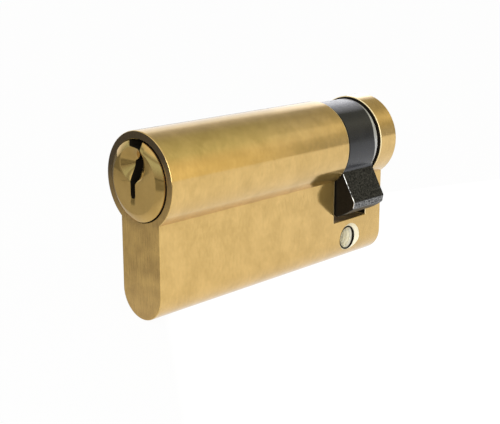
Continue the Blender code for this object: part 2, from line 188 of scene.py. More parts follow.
mouth = [(front_face - past, 0), (front_face - past, recess_radius + recess_chamfer + past),
         (front_face + recess_chamfer, recess_radius), (front_face + recess_depth, recess_radius),
         (front_face + recess_depth, bore_radius), (0, bore_radius), (0, 0)]
bearing = [(0, 0), (0, bearing_radius), (bearing_end, bearing_radius), (bearing_end, 0)]
sink_place = web_half - (sink_radius - sink_foot)
half_hole = [(web_half + past, sink_radius + past), (sink_place, sink_foot), (sink_place, thread_mouth),
             (sink_place - thread_lip, thread_mouth), (sink_place - thread_lip, screw_radius)]
hole = [(web_half + past, 0)] + half_hole + [(-x, radius) for x, radius in reversed(half_hole)]
bm = bmesh.new()
spun(bm, [(x, 0, radius) for x, radius in hole + [(-web_half - past, 0)]], (1, 0, 0), 96)
cuts = [
    milled("cam_slot", (-barrel_radius - past, -slot_half, slot_floor),
           (barrel_radius + past, slot_half, barrel_height + barrel_radius + past)),
    lathe_y("plug_bore", mouth),
    lathe_y("bearing_hole", bearing, 48),
    finished(bm, "screw_hole"),
]
cuts += [drilled("pin_chamber", chamber_radius, row, -web_half - past, chamber_top) for row in pin_rows]
worked(housing, cuts)

slot_chamfer = 0.16 * MM
sharp_edge = 0.4  # radians between the two faces of an edge


def broken_edges(piece, chosen, width, segments=3):
    """Break the chosen sharp edges of a piece."""
    bm = bmesh.new()
    bm.from_mesh(piece.data)
    edges = [edge for edge in bm.edges
             if len(edge.link_faces) == 2 and edge.calc_face_angle() > sharp_edge and chosen(edge)]
    bmesh.ops.bevel(bm, geom=edges, offset=width, segments=segments, profile=0.5, affect="EDGES",
                    material=-1, clamp_overlap=True)
    bm.to_mesh(piece.data)
    bm.free()


def from_axis(place):
    """Distance of a place from the barrel's axis."""
    return math.hypot(place.x, place.z - barrel_height)


def on_slot_rim(edge):
    """An outer edge of the cam slot, not one of the bore inside it."""
    middle = (edge.verts[0].co + edge.verts[1].co) / 2
    in_wall = all(abs(abs(vert.co.y) - slot_half) < hair for vert in edge.verts)
    on_floor = all(abs(vert.co.z - slot_floor) < hair for vert in edge.verts)
    outside = from_axis(middle) > bore_radius + 0.5 * MM and middle.z > slot_floor - hair
    return outside and (in_wall or (on_floor and abs(middle.x) > web_half - MM))


broken_edges(housing, on_slot_rim, slot_chamfer)


def node(tree, kind, inputs, **settings):
    """Add a shader node. An input is given as a value, or as the socket that it is linked to."""
    added = tree.nodes.new(kind)
    for setting, value in settings.items():
        setattr(added, setting, value)
    for name, value in inputs.items():
        if isinstance(value, bpy.types.NodeSocket):
            tree.links.new(value, added.inputs[name])
        else:
            added.inputs[name].default_value = value
    return added


def metal(name, metallic):
    """A new metal, its node tree, its shader and the place on the piece."""
    material = bpy.data.materials.new(name)
    material.use_nodes = True
    tree = material.node_tree
    shader = tree.nodes["Principled BSDF"]
    shader.inputs["Metallic"].default_value = metallic
    place = node(tree, "ShaderNodeTexCoord", {}).outputs["Object"]
    return material, tree, shader, place


def brass(name, light, dark, metallic, roughness, grain, streak, depth):
    """Brass with fine tool marks. Grain is how many there are in a metre along X, Y and Z, streak is
    how strongly they colour it, and depth is how deep they are."""
    material, tree, shader, place = metal(name, metallic)
    along_marks = node(tree, "ShaderNodeMapping", {"Vector": place, "Scale": grain})
    marks = node(tree, "ShaderNodeTexNoise", {"Vector": along_marks.outputs["Vector"], "Scale": 1.0,
                                              "Detail": 5.0, "Roughness": 0.7})
    lacquer = node(tree, "ShaderNodeTexNoise", {"Vector": place, "Scale": 300.0, "Detail": 6.0,
                                                "Roughness": 0.55})
    drift = node(tree, "ShaderNodeMapRange", {"Value": lacquer.outputs["Fac"], "From Min": 0.3,
                                              "From Max": 0.7, "To Min": -0.5 * streak,
                                              "To Max": 1.0 - 0.5 * streak})
    weight = node(tree, "ShaderNodeMath", {0: marks.outputs["Fac"], 1: streak, 2: drift.outputs["Result"]},
                  operation="MULTIPLY_ADD", use_clamp=True)
    tone = node(tree, "ShaderNodeMix", {"Factor": weight.outputs["Value"], "A": (*dark, 1.0),
                                        "B": (*light, 1.0)}, data_type="RGBA")
    rough = node(tree, "ShaderNodeMapRange", {"Value": marks.outputs["Fac"], "From Min": 0.3,
                                              "From Max": 0.7, "To Min": roughness * 0.85,
                                              "To Max": roughness * 1.25})
    cut = node(tree, "ShaderNodeBump", {"Strength": 0.3, "Distance": depth, "Height": marks.outputs["Fac"]})
    tree.links.new(tone.outputs["Result"], shader.inputs["Base Color"])
    tree.links.new(rough.outputs["Result"], shader.inputs["Roughness"])
    tree.links.new(cut.outputs["Normal"], shader.inputs["Normal"])
    return material


brushed_brass = brass("brushed_brass", (0.74, 0.49, 0.165), (0.60, 0.39, 0.115), 0.75, 0.14,
                      (900, 2800, 900), 1.9, 0.005 * MM)
brushed_brass.node_tree.nodes["Principled BSDF"].inputs["Coat Weight"].default_value = 0.6
brushed_brass.node_tree.nodes["Principled BSDF"].inputs["Coat Roughness"].default_value = 0.12
# Sawn ends: rougher brass whose darker colour is partly painted shade.
sawn_brass = brass("sawn_brass", (0.52, 0.33, 0.10), (0.33, 0.20, 0.058), 0.4, 0.28,
                   (5200, 500, 260), 1.4, 0.006 * MM)
milled_brass = brass("milled_brass", (0.50, 0.33, 0.14), (0.25, 0.16, 0.07), 0.4, 0.5,
                     (900, 900, 4200), 0.8, 0.004 * MM)
# Near black: painted shade for the bores, the recess round the plug, the cam slot's end walls and the gaps.
painted_shade_brass = brass("painted_shade_brass", (0.014, 0.010, 0.006), (0.007, 0.005, 0.003), 0.2, 0.6,
                    (900, 2600, 900), 0.5, 0.004 * MM)
painted_shade_brass.node_tree.nodes["Principled BSDF"].inputs["Specular IOR Level"].default_value = 0.1
# Fresh-cut brass for the thread and countersink, coloured near white partly as painted light.
tapped_brass = brass("tapped_brass", (1.0, 0.97, 0.82), (1.0, 0.92, 0.70), 0.0, 0.4,
                     (2400, 900, 900), 0.8, 0.004 * MM)
# Painted highlight: pale bright brass on the chamfered rims of the cam slot.
slot_rim_glint_brass = brass("slot_rim_glint_brass", (1.0, 0.84, 0.50), (0.94, 0.70, 0.36), 0.3, 0.3,
                     (900, 900, 900), 0.8, 0.002 * MM)

# Painted shade: the sawn front is coloured near black towards the top of the ring round the plug.
tree = sawn_brass.node_tree
shader = tree.nodes["Principled BSDF"]
place = node(tree, "ShaderNodeTexCoord", {}).outputs["Object"]
split = node(tree, "ShaderNodeSeparateXYZ", {"Vector": place})
lean = node(tree, "ShaderNodeVectorMath", {0: place, 1: (-0.2, 0, 0.98)}, operation="DOT_PRODUCT")
upward = node(tree, "ShaderNodeMapRange", {"Value": lean.outputs["Value"], "From Min": 10.5 * MM,
                                           "From Max": 22.5 * MM})
frontal = node(tree, "ShaderNodeMapRange", {"Value": split.outputs["Y"], "From Min": 0.0,
                                            "From Max": front_face})
shade_toward_top = node(tree, "ShaderNodeMath", {0: upward.outputs["Result"], 1: frontal.outputs["Result"]},
             operation="MULTIPLY")
ring_tone = node(tree, "ShaderNodeMix", {"Factor": shade_toward_top.outputs["Value"],
                                         "A": shader.inputs["Base Color"].links[0].from_socket,
                                         "B": (0.070, 0.046, 0.021, 1.0)}, data_type="RGBA")
tree.links.new(ring_tone.outputs["Result"], shader.inputs["Base Color"])


def dressed(piece, materials, body, limit=32.0):
    """Smooth a piece between its sharp edges, and give it its materials and body."""
    piece.data.shade_smooth()
    piece.data.set_sharp_from_angle(angle=math.radians(limit))
    normals = piece.modifiers.new("even_normals", "WEIGHTED_NORMAL")
    normals.keep_sharp = True
    piece.data.materials.clear()
    for material in materials:
        piece.data.materials.append(material)
    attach(piece, body)


brasses = [brushed_brass, sawn_brass, milled_brass, painted_shade_brass, tapped_brass, slot_rim_glint_brass]
dressed(housing, brasses, "housing")
# The housing's bores, recess, slot end walls and the bore under the screw thread take the painted shade.
for face in housing.data.polygons:
    middle, facing = face.center, face.normal
    in_hole = math.hypot(middle.y, middle.z)
    finish = brushed_brass
    if from_axis(middle) < recess_radius + hair and front_face + hair < middle.y < bearing_end + hair:
        finish = painted_shade_brass
    # The slot's rim chamfers take the painted highlight.
    elif slot_half + hair < abs(middle.y) < slot_half + slot_chamfer and abs(facing.y) > 0.1:
        finish = slot_rim_glint_brass
    elif abs(middle.y) < slot_half + hair and middle.z > slot_floor - hair:
        finish = painted_shade_brass if abs(facing.y) > 0.9 else milled_brass if facing.z > 0.9 else brushed_brass
    elif in_hole < sink_radius and abs(middle.x) < web_half - hair:
        finish = tapped_brass if abs(middle.x) > sink_place + hair else painted_shade_brass
    elif abs(facing.y) > 0.9:
        finish = sawn_brass
    face.material_index = brasses.index(finish)
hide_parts("cylinder_body")


# Thread for the fixing screw. M5 with a pitch of 0.8 mm, cut by a tap right through the web. Its
# new flanks are coloured near white, partly for the fresh cut and partly as painted light in the hole.
# The screw in it is what holds the cylinder in the lock case.
thread_root = 2.49 * MM
thread_pitch = 0.8 * MM
thread_turns = 10
thread_steps = 40
thread_start = sink_place - thread_lip
flank = [(0.0, thread_root), (0.3, thread_mouth), (0.45, thread_mouth), (0.75, thread_root),
         (1.0, thread_root)]
bm = bmesh.new()
tooth = [bm.verts.new((thread_start - thread_pitch * share, 0, radius)) for share, radius in flank]
tooth += [bm.edges.new(pair) for pair in zip(tooth, tooth[1:])]
bmesh.ops.spin(bm, geom=tooth, cent=(0, 0, 0), axis=(1, 0, 0), dvec=(-thread_pitch / thread_steps, 0, 0),
               angle=2 * math.pi * thread_turns, steps=thread_steps * thread_turns)
bmesh.ops.remove_doubles(bm, verts=bm.verts, dist=2 * merge_gap)
bmesh.ops.recalc_face_normals(bm, faces=bm.faces)
if any(face.normal.dot(Vector((0, face.calc_center_median().y, face.calc_center_median().z))) > 0
       for face in bm.faces[:8]):
    bmesh.ops.reverse_faces(bm, faces=bm.faces)
thread = finished(bm, "screw_thread")
dressed(thread, [tapped_brass], "housing")


# Plug. Turned from brass bar with a flange and a bevelled nose, broached for the key, and drilled
# for the six key pins. The drill-point dimple beside the keyway guides the key in.
flange_radius = 6.95 * MM
flange_thickness = 2.0 * MM
rim = 0.3 * MM
nose = 1.0 * MM
nose_radius = 5.55 * MM
plug_radius = 6.5 * MM
tail_radius = 5.4 * MM
tail_end = -0.6 * MM
tail_chamfer = 0.2 * MM
groove_radius = 4.7 * MM
groove = (-4.75 * MM, -3.75 * MM)
drive_half = 1.2 * MM
drive_depth = 2.2 * MM
keyway_top = 8.5 * MM
keyway_round = 0.16 * MM
dimple_radius = 3.2 * MM
dimple_rise = 3.05 * MM
dimple_aside = -0.25 * MM
pin_hole_rise = 0.3 * MM
nose_edge = 0.06 * MM
face_place = front_face - nose
plug = lathe_y("plug_brass", [
    (tail_end, 0), (tail_end, tail_radius - tail_chamfer), (tail_end - tail_chamfer, tail_radius),
    (groove[1], tail_radius), (groove[1], groove_radius), (groove[0], groove_radius),
    (groove[0], tail_radius), (-slot_half, tail_radius), (-slot_half, plug_radius),
    (front_face + flange_thickness, plug_radius), (front_face + flange_thickness, flange_radius),
    (front_face - rim / 2, flange_radius), (front_face - rim, flange_radius), (face_place, nose_radius),
    (face_place, 0),
])

keyway_corners = [
    (-3.04, keyway_top / MM), (1.6, keyway_top / MM), (1.6, 3.65), (1.25, 3.3), (1.25, 0.7), (0.25, -0.4),
    (0.25, -2.3), (0.05, -2.9), (-0.75, -2.9), (-0.95, -2.3), (-0.95, -0.4), (-1.15, 0.7), (-1.15, 3.3),
    (1.1, 4.85), (1.1, 5.65), (-1.3, 5.95),
]
bm = bmesh.new()
bm.faces.new([bm.verts.new((x * MM, face_place - past, z * MM)) for x, z in keyway_corners])
rounded = [vert for vert in bm.verts if vert.co.z < keyway_top - hair]
bmesh.ops.bevel(bm, geom=rounded, offset=keyway_round, segments=4, profile=0.5, affect="VERTICES",
                material=-1)
drawn_out(bm, tail_end - face_place + 2 * past)
bmesh.ops.translate(bm, vec=(0, 0, barrel_height), verts=bm.verts)
keyway = finished(bm, "keyway")

drill_slope = math.tan(math.radians(118 / 2))  # the point of a common drill
dimple_point = [(face_place + dimple_radius / drill_slope, 0),
                (face_place - past, dimple_radius + past * drill_slope), (face_place - past, 0)]
dimple = lathe_y("dimple", dimple_point, 96, barrel_height + dimple_rise)
dimple.data.transform(Matrix.Translation((dimple_aside, 0, 0)))
drive_slot = milled("drive_slot", (-tail_radius - past, tail_end - drive_depth, barrel_height - drive_half),
                    (tail_radius + past, tail_end + past, barrel_height + drive_half))
cuts = [dimple, keyway, drive_slot]
shoulder = barrel_height + pin_hole_rise
below = barrel_height - plug_radius - past
for row in pin_rows:
    bm = bmesh.new()
    spun(bm, [(0, 0, shoulder + chamber_radius / drill_slope), (chamber_radius, 0, shoulder),
              (chamber_radius, 0, below), (0, 0, below)], (0, 0, 1), 48)
    bmesh.ops.translate(bm, vec=(0, row, 0), verts=bm.verts)
    cuts.append(finished(bm, "pin_hole"))
worked(plug, cuts)


def on_nose_rim(edge):
    """An edge of the plug's face, its bevel or its rim."""
    return all(vert.co.y < front_face - rim + hair for vert in edge.verts)


broken_edges(plug, on_nose_rim, nose_edge, 2)
turned_brass = brass("turned_brass", (0.74, 0.49, 0.165), (0.62, 0.40, 0.125), 0.92, 0.07,
                     (4200, 500, 400), 0.8, 0.003 * MM)
finishes = [turned_brass, painted_shade_brass]
dressed(plug, finishes, "plug_group")
# The plug's faces inside the housing, the flange's side among them, take the painted shade.
for face in plug.data.polygons:
    on_nose = face.center.y < front_face - rim / 2 and from_axis(face.center) > nose_radius - 10 * hair
    if face.center.y < -slot_half and face.normal.y > -0.7 and not on_nose:
        face.material_index = finishes.index(painted_shade_brass)
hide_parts("plug")


# Cam. A sintered steel ring with one lever, blackened in oil. The lever throws the bolt, and the
# bright band along the rear rim of the ring is a painted highlight.
cam_radius = 8.0 * MM
cam_half = 4.7 * MM
cam_chamfer = 0.4 * MM
cam_reach = 15.1 * MM
lever_half = 3.3 * MM
lever_lean = math.radians(30)
root_fillet = 0.9 * MM
tip_chamfer = 0.9 * MM
lever_edge = 0.15 * MM
cam_bore = 5.55 * MM
clip_recess = 7.15 * MM
clip_recess_floor = -3.55 * MM
lug_slot_reach = 6.35 * MM
lug_slot_half = 1.35 * MM

shade_edge = 0.55 * MM - cam_half  # painted shade covers the front of the ring as far as here, beside the barrel's edge
cam = lathe_y("cam_steel", [(-cam_half, 0), (-cam_half, cam_radius - cam_chamfer),
                            (cam_chamfer - cam_half, cam_radius), (shade_edge, cam_radius),
                            (cam_half, cam_radius), (cam_half, 0)], 160)
broken_edges(cam, lambda edge: across(edge) and edge.verts[0].co.y > cam_half - hair, cam_chamfer, 4)

bm = bmesh.new()
swing = math.asin((lever_half + root_fillet) / (cam_radius + root_fillet))
root_place = -(cam_radius + root_fillet) * math.cos(swing)
on_ring = (cam_radius * math.sin(swing), -cam_half, -cam_radius * math.cos(swing))
tip_place = -math.sqrt(cam_reach ** 2 - (lever_half - tip_chamfer) ** 2)
shoulder = tip_chamfer - math.sqrt(cam_reach ** 2 - lever_half ** 2)
inner_root = 0.85
inside_ring = [inner_root * part for part in on_ring]
chain = [bm.verts.new((inside_ring[0], -cam_half, inside_ring[2])), bm.verts.new(on_ring)]
root_turn = swing - math.pi / 2
chain.append(swung(bm, chain[-1], (lever_half + root_fillet, root_place), root_turn, 6))
chain.append(bm.verts.new((lever_half, -cam_half, shoulder)))
chain.append(bm.verts.new((lever_half - tip_chamfer, -cam_half, tip_place)))
tip_turn = 2 * math.asin((lever_half - tip_chamfer) / cam_reach)
chain.append(swung(bm, chain[-1], (0, 0), tip_turn, 10))
chain.append(bm.verts.new((-lever_half, -cam_half, shoulder)))
chain.append(bm.verts.new((-lever_half, -cam_half, root_place)))
chain.append(swung(bm, chain[-1], (-lever_half - root_fillet, root_place), root_turn, 6))
chain.append(bm.verts.new((-chain[0].co.x, -cam_half, chain[0].co.z)))
for index in (0, 2, 3, 5, 6, 8):
    bm.edges.new((chain[index], chain[index + 1]))
bm.edges.new((chain[-1], chain[0]))
bmesh.ops.contextual_create(bm, geom=bm.edges[:])
drawn_out(bm, 2 * cam_half)
outer_edges = [edge for edge in bm.edges if min(vert.co.z for vert in edge.verts) < -cam_radius
               and edge.calc_face_angle() > sharp_edge]
bmesh.ops.bevel(bm, geom=outer_edges, offset=lever_edge, segments=2, profile=0.5, affect="EDGES",
                material=-1)
bmesh.ops.rotate(bm, cent=(0, 0, 0), matrix=Matrix.Rotation(-lever_lean, 3, "Y"), verts=bm.verts)
bmesh.ops.translate(bm, vec=(0, 0, barrel_height), verts=bm.verts)
worked(cam, [finished(bm, "lever")], "UNION")
bore = [(cam_half + past, 0), (cam_half + past, cam_bore), (clip_recess_floor, cam_bore),
        (clip_recess_floor, clip_recess), (-cam_half - past, clip_recess), (-cam_half - past, 0)]
worked(cam, [lathe_y("cam_bore", bore),
             milled("lug_notches", (-lug_slot_reach, -cam_half - past, barrel_height - lug_slot_half),
                    (lug_slot_reach, cam_half + past, barrel_height + lug_slot_half))])

# Painted highlight: a bright metal band along the ring's rear rim, tapered to the arc of the highlight.
glint_rise = 1.5 * MM
glint_width = 1.35 * MM
glint_fade = 0.15 * MM
glint_taper = 0.13
black_steel, tree, shader, place = metal("black_steel", 0.0)
shader.inputs["IOR"].default_value = 1.5
shader.inputs["Sheen Weight"].default_value = 0.5
shader.inputs["Sheen Roughness"].default_value = 0.25
shader.inputs["Sheen Tint"].default_value = (0.86, 0.86, 1.0, 1.0)
pores = node(tree, "ShaderNodeTexNoise", {"Vector": place, "Scale": 5200.0, "Detail": 3.0})
bloom = node(tree, "ShaderNodeTexNoise", {"Vector": place, "Scale": 300.0, "Detail": 5.0})
oil = node(tree, "ShaderNodeMix", {"Factor": bloom.outputs["Fac"], "A": (0.004, 0.004, 0.005, 1.0),
                                   "B": (0.012, 0.013, 0.017, 1.0)}, data_type="RGBA")
split = node(tree, "ShaderNodeSeparateXYZ", {"Vector": place})
# Painted light on the ring: lighter and bluer towards its bottom as a painted reflection of the floor, and
# pale lavender over its top as a painted sheen. The colour named oil carries both from here on.
painted_reflection_low = node(tree, "ShaderNodeMapRange", {"Value": split.outputs["Z"],
                                             "From Min": barrel_height + 1.0 * MM,
                                             "From Max": barrel_height - 6.0 * MM, "To Max": 0.8})
painted_sheen_top = node(tree, "ShaderNodeMapRange", {"Value": split.outputs["Z"],
                                             "From Min": barrel_height + 6.3 * MM,
                                             "From Max": barrel_height + 7.8 * MM})
oil = node(tree, "ShaderNodeMix", {"Factor": painted_reflection_low.outputs["Result"], "A": oil.outputs["Result"],
                                   "B": (0.050, 0.052, 0.066, 1.0)}, data_type="RGBA")
oil = node(tree, "ShaderNodeMix", {"Factor": painted_sheen_top.outputs["Result"], "A": oil.outputs["Result"],
                                   "B": (0.30, 0.30, 0.36, 1.0)}, data_type="RGBA")
side = node(tree, "ShaderNodeCombineXYZ", {"X": split.outputs["X"], "Z": split.outputs["Z"]})
from_centre = node(tree, "ShaderNodeVectorMath", {0: side.outputs["Vector"], 1: (0, 0, barrel_height)},
                   operation="DISTANCE")
on_ring_only = node(tree, "ShaderNodeMapRange", {"Value": from_centre.outputs["Value"],
                                                 "From Min": cam_radius - 0.03 * MM,
                                                 "From Max": cam_radius + 0.04 * MM,
                                                 "To Min": 1.0, "To Max": 0.0})
off_middle = node(tree, "ShaderNodeMath", {0: split.outputs["Z"], 1: -barrel_height - glint_rise},
                  operation="ADD")
off_middle = node(tree, "ShaderNodeMath", {0: off_middle.outputs["Value"]}, operation="ABSOLUTE")
tapered = node(tree, "ShaderNodeMath", {0: off_middle.outputs["Value"], 1: -glint_taper,
                                        2: split.outputs["Y"]}, operation="MULTIPLY_ADD")
rear_rim = node(tree, "ShaderNodeMapRange", {"Value": tapered.outputs["Value"],
                                             "From Min": cam_half - glint_width,
                                             "From Max": cam_half - glint_width + glint_fade})
ring_rim_glint = node(tree, "ShaderNodeMath", {0: rear_rim.outputs["Result"], 1: on_ring_only.outputs["Result"]},
            operation="MULTIPLY")
colour = node(tree, "ShaderNodeMix", {"Factor": ring_rim_glint.outputs["Value"], "A": oil.outputs["Result"],
                                      "B": (0.93, 0.94, 0.94, 1.0)}, data_type="RGBA")
gloss = node(tree, "ShaderNodeMapRange", {"Value": bloom.outputs["Fac"], "From Min": 0.3, "From Max": 0.7,
                                          "To Min": 0.2, "To Max": 0.34})
grit = node(tree, "ShaderNodeBump", {"Strength": 0.25, "Distance": 0.006 * MM,
                                     "Height": pores.outputs["Fac"]})
tree.links.new(colour.outputs["Result"], shader.inputs["Base Color"])
tree.links.new(ring_rim_glint.outputs["Value"], shader.inputs["Metallic"])
tree.links.new(gloss.outputs["Result"], shader.inputs["Roughness"])
tree.links.new(grit.outputs["Normal"], shader.inputs["Normal"])


def sintered(name, light):
    """Pressed steel with oil in its open pores, light where the skin between them shows."""
    material, tree, shader, place = metal(name, 0.0)
    shader.inputs["IOR"].default_value = 1.22
    pores = node(tree, "ShaderNodeTexNoise", {"Vector": place, "Scale": 3400.0, "Detail": 4.0})
    skin = node(tree, "ShaderNodeMapRange", {"Value": pores.outputs["Fac"], "From Min": 0.4,
                                             "From Max": 0.64})
    soot = node(tree, "ShaderNodeMix", {"Factor": skin.outputs["Result"], "A": (0.002, 0.002, 0.002, 1.0),
                                        "B": (*light, 1.0)}, data_type="RGBA")
    pits = node(tree, "ShaderNodeBump", {"Strength": 0.5, "Distance": 0.012 * MM,
                                         "Height": pores.outputs["Fac"]})
    tree.links.new(soot.outputs["Result"], shader.inputs["Base Color"])
    tree.links.new(pits.outputs["Normal"], shader.inputs["Normal"])
    shader.inputs["Roughness"].default_value = 0.4
    return material


def flecked_steel(name, dark, light, flecks):
    """Bare steel with dark flecks left in it. Flecks is how many there are in a metre."""
    material, tree, shader, place = metal(name, 1.0)
    spots = node(tree, "ShaderNodeTexNoise", {"Vector": place, "Scale": flecks, "Detail": 3.0})
    tone = node(tree, "ShaderNodeMapRange", {"Value": spots.outputs["Fac"], "From Min": 0.4, "From Max": 0.6,
                                             "To Min": dark, "To Max": light})
    tree.links.new(tone.outputs["Result"], shader.inputs["Base Color"])
    shader.inputs["Roughness"].default_value = 0.34
    return material


sintered_steel = sintered("sintered_steel", (0.052, 0.050, 0.044))
# A darker copy of the sintered steel: painted shade on the lever's front face and the ring's front strip.
shaded_steel = sintered("shaded_steel", (0.015, 0.012, 0.009))
# Painted highlight: bright flecked metal on the lever's front edge, on the side facing the lamp.
lever_edge_glint_steel = flecked_steel("lever_edge_glint_steel", 0.03, 0.95, 800.0)
pressed_steel = flecked_steel("pressed_steel", 0.03, 0.28, 4200.0)
steels = [black_steel, sintered_steel, lever_edge_glint_steel, pressed_steel, shaded_steel]
dressed(cam, steels, "plug_group", 25.0)
lever_foot = cam_radius + 0.2 * MM
lever_tip = cam_reach - 0.7 * MM
upper_side = Vector((math.cos(lever_lean), 0, math.sin(lever_lean)))
for face in cam.data.polygons:
    reach = from_axis(face.center)
    towards_side = face.normal.dot(upper_side)
    on_front_edge = face.center.y < lever_edge - cam_half
    finish = black_steel
    # The lever's front face takes the painted shade.
    if reach > lever_foot and face.normal.y < -0.97:
        finish = shaded_steel
    # The lever's front edge takes the painted highlight.
    elif reach > lever_foot and on_front_edge and towards_side > 0.25:
        finish = lever_edge_glint_steel
    elif reach > lever_tip and towards_side > 0.3:
        finish = pressed_steel
    elif reach > lever_foot:
        finish = sintered_steel
    # The strip of the ring next to the barrel takes the painted shade.
    elif reach > cam_radius - cam_chamfer and face.center.y < shade_edge:
        finish = shaded_steel
    face.material_index = steels.index(finish)
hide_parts("cam")


# Clip and coupling. The clip is a spring ring in a groove of the plug's tail; the coupling is a
# turned steel hub whose tongue and lugs carry the turn from the plug to the cam.
bright_steel, tree, shader, place = metal("bright_steel", 1.0)
lines = node(tree, "ShaderNodeTexNoise", {"Vector": place, "Scale": 2600.0})
steel_tone = node(tree, "ShaderNodeMix", {"Factor": lines.outputs["Fac"], "A": (0.44, 0.44, 0.45, 1.0),
                                          "B": (0.62, 0.62, 0.63, 1.0)}, data_type="RGBA")
steel_gloss = node(tree, "ShaderNodeMapRange", {"Value": lines.outputs["Fac"], "To Min": 0.18,
                                                "To Max": 0.36})
tree.links.new(steel_tone.outputs["Result"], shader.inputs["Base Color"])
tree.links.new(steel_gloss.outputs["Result"], shader.inputs["Roughness"])
for name in ("retaining_clip", "cam_coupling"):
    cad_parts[name].material_slots[0].material = bright_steel


# Pin stacks. Each is a pointed brass key pin in the plug, a steel driver pin and its coil spring in
# the web, and a brass stopper pressed in from below and ground flush with the round edge. The spring
# has closed end turns.
stopper_radius = 1.5 * MM
stopper_top = -2.0 * MM
driver_foot = barrel_height - 12.62 * MM
wire_radius = 0.15 * MM
coil_radius = 1.1 * MM
coil_gap = 0.1 * MM
coil_foot = stopper_top + coil_gap
coil_head = driver_foot - coil_gap
closed_pitch = 0.45 * MM
open_turns = 4
pin_brass = brass("pin_brass", (0.80, 0.60, 0.28), (0.62, 0.43, 0.17), 0.8, 0.22,
                  (900, 900, 5200), 0.5, 0.003 * MM)


def coil(name, row):
    """A coil spring wound upwards from one closed end turn to the other."""
    bm = bmesh.new()
    wire = bmesh.ops.create_circle(bm, segments=8, radius=wire_radius)["verts"]
    bmesh.ops.rotate(bm, cent=(0, 0, 0), matrix=Matrix.Rotation(math.radians(90), 3, "X"), verts=wire)
    bmesh.ops.translate(bm, vec=(coil_radius, row, coil_foot + wire_radius), verts=wire)
    end = bm.verts[:] + bm.edges[:]
    rise = coil_head - coil_foot - 2 * wire_radius - 2 * closed_pitch
    for turns, climb in ((1, closed_pitch), (open_turns, rise), (1, closed_pitch)):
        steps = 20 * turns
        end = bmesh.ops.spin(bm, geom=end, cent=(0, row, 0), axis=(0, 0, 1), dvec=(0, 0, climb / steps),
                             angle=2 * math.pi * turns, steps=steps)["geom_last"]
    bmesh.ops.holes_fill(bm, edges=[edge for edge in bm.edges if edge.is_boundary])
    bmesh.ops.recalc_face_normals(bm, faces=bm.faces)
    return finished(bm, name)


for number, row in enumerate(pin_rows, start=1):
    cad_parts[f"key_pin_{number}"].material_slots[0].material = pin_brass
    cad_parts[f"driver_pin_{number}"].material_slots[0].material = bright_steel
    spring = coil(f"coil_spring_{number}", row)
    dressed(spring, [bright_steel], "housing")
    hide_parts(f"pin_spring_{number}")
    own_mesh(spring)
    stopper = drilled(f"stopper_{number}", stopper_radius, row, -web_half - past, stopper_top, 64)
    bm = bmesh.new()
    bmesh.ops.create_cone(bm, cap_ends=True, segments=192, radius1=web_half, radius2=web_half,
                          depth=2 * (rear_face - front_face))
    bmesh.ops.rotate(bm, cent=(0, 0, 0), matrix=Matrix.Rotation(math.radians(90), 3, "X"), verts=bm.verts)
    worked(stopper, [finished(bm, "web_edge")], "INTERSECT")
    dressed(stopper, [pin_brass], "housing")
    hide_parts(f"chamber_plug_{number}")


# Studio. A plain white floor and backdrop, one large soft lamp in front on the right, and a pale room
# that the brass reflects in broad bands: grey over the top, white on the left and a warm wall on the right.
floor_half = 1.5
floor_gap = 0.03 * MM
bm = bmesh.new()
bmesh.ops.create_grid(bm, x_segments=8, y_segments=8, size=floor_half)
bmesh.ops.translate(bm, vec=(0, 0, -web_half - floor_gap), verts=bm.verts)
floor = finished(bm, "floor")
paper = bpy.data.materials.new("white_paper")
paper.use_nodes = True
tree = paper.node_tree
tree.nodes.clear()
# Mirrored in the brass, the floor grows darker towards the front and the left. Seen straight it is white.
seen = node(tree, "ShaderNodeLightPath", {})
place = node(tree, "ShaderNodeTexCoord", {}).outputs["Object"]
ahead = node(tree, "ShaderNodeVectorMath", {0: place, 1: (-0.6, -0.8, 0)}, operation="DOT_PRODUCT")
falloff = node(tree, "ShaderNodeMapRange", {"Value": ahead.outputs["Value"], "From Min": 0.033,
                                            "From Max": 0.068, "To Min": 1.07, "To Max": 0.34})
straight = node(tree, "ShaderNodeVectorMath", {0: place, 1: (0.35, -0.94, 0)}, operation="DOT_PRODUCT")
far_dark = node(tree, "ShaderNodeMapRange", {"Value": straight.outputs["Value"], "From Min": 0.110,
                                             "From Max": 0.132, "To Min": 1.0, "To Max": 0.02})
aside = node(tree, "ShaderNodeVectorMath", {0: place, 1: (-0.94, 0.35, 0)}, operation="DOT_PRODUCT")
left_dark = node(tree, "ShaderNodeMapRange", {"Value": aside.outputs["Value"], "From Min": 0.040,
                                              "From Max": 0.062, "To Min": 1.0, "To Max": 0.1})
mirrored = node(tree, "ShaderNodeMath", {0: falloff.outputs["Result"], 1: far_dark.outputs["Result"]},
                operation="MULTIPLY")
mirrored = node(tree, "ShaderNodeMath", {0: mirrored.outputs["Value"], 1: left_dark.outputs["Result"]},
                operation="MULTIPLY")
strength = node(tree, "ShaderNodeMath", {0: seen.outputs["Is Camera Ray"], 1: mirrored.outputs["Value"]},
                operation="MAXIMUM")
camera_share = node(tree, "ShaderNodeMath", {0: seen.outputs["Is Camera Ray"], 1: 0.96}, operation="MULTIPLY")
glossy_share = node(tree, "ShaderNodeMath", {0: seen.outputs["Is Glossy Ray"], 1: 0.8}, operation="MULTIPLY")
share = node(tree, "ShaderNodeMath", {0: camera_share.outputs["Value"], 1: glossy_share.outputs["Value"]},
             operation="MAXIMUM")
sheet = node(tree, "ShaderNodeBsdfDiffuse", {"Color": (0.82, 0.82, 0.82, 1.0)})
glow = node(tree, "ShaderNodeEmission", {"Strength": strength.outputs["Value"]})
lit = node(tree, "ShaderNodeMixShader", {0: share.outputs["Value"], 1: sheet.outputs["BSDF"],
                                         2: glow.outputs["Emission"]})
node(tree, "ShaderNodeOutputMaterial", {"Surface": lit.outputs["Shader"]})
floor.data.materials.append(paper)

